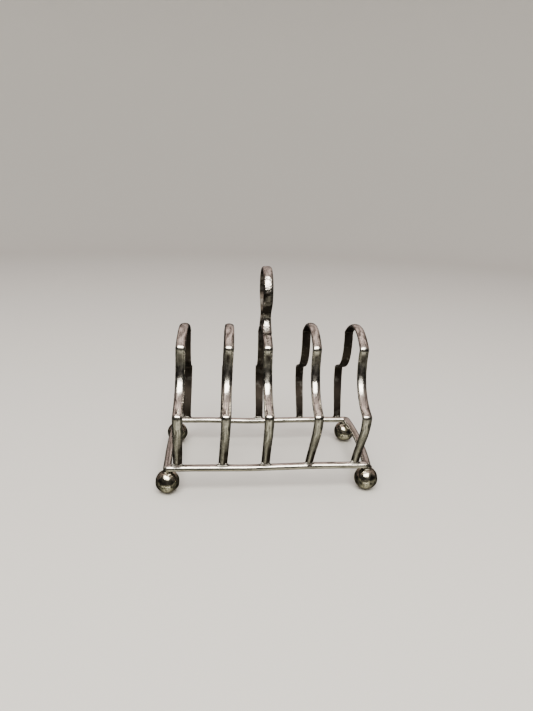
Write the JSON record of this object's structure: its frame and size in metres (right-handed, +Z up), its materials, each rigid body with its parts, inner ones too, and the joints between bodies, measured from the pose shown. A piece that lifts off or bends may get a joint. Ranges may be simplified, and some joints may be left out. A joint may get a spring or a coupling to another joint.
{
  "type": "toast rack",
  "caption": "Table toast rack: upright stepped bars of half-round strip soldered on an oblong frame with ball feet, and a horseshoe carrying handle on the middle bar.",
  "frame": {"origin": "on the table, under the middle of the rack's bounding box", "axes": "+X along the long side, square to the bars; +Y from the front rail to the rear rail; +Z up"},
  "size_m": [0.1316, 0.0881, 0.127],
  "materials": {
    "bar_silver": "polished, scratched, dark tarnish inside and in the joints",
    "rail_silver": "polished and worn, tarnished beside the joints",
    "handle_silver": "polished, dented and mottled",
    "foot_silver": "polished, with a few dents"
  },
  "bodies": {
    "root": {"bar_1": "bar_silver", "bar_2": "bar_silver", "bar_3": "bar_silver", "bar_4": "bar_silver", "bar_5": "bar_silver", "foot_lower_cup_front_left": "foot_silver", "foot_lower_cup_front_right": "foot_silver", "foot_lower_cup_rear_left": "foot_silver", "foot_lower_cup_rear_right": "foot_silver", "foot_peg_front_left": "foot_silver", "foot_peg_front_right": "foot_silver", "foot_peg_rear_left": "foot_silver", "foot_peg_rear_right": "foot_silver", "foot_upper_cup_front_left": "foot_silver", "foot_upper_cup_front_right": "foot_silver", "foot_upper_cup_rear_left": "foot_silver", "foot_upper_cup_rear_right": "foot_silver", "front_rail": "rail_silver", "handle_loop": "handle_silver", "left_rail": "rail_silver", "rear_rail": "rail_silver", "right_rail": "rail_silver"}
  },
  "joints": []
}
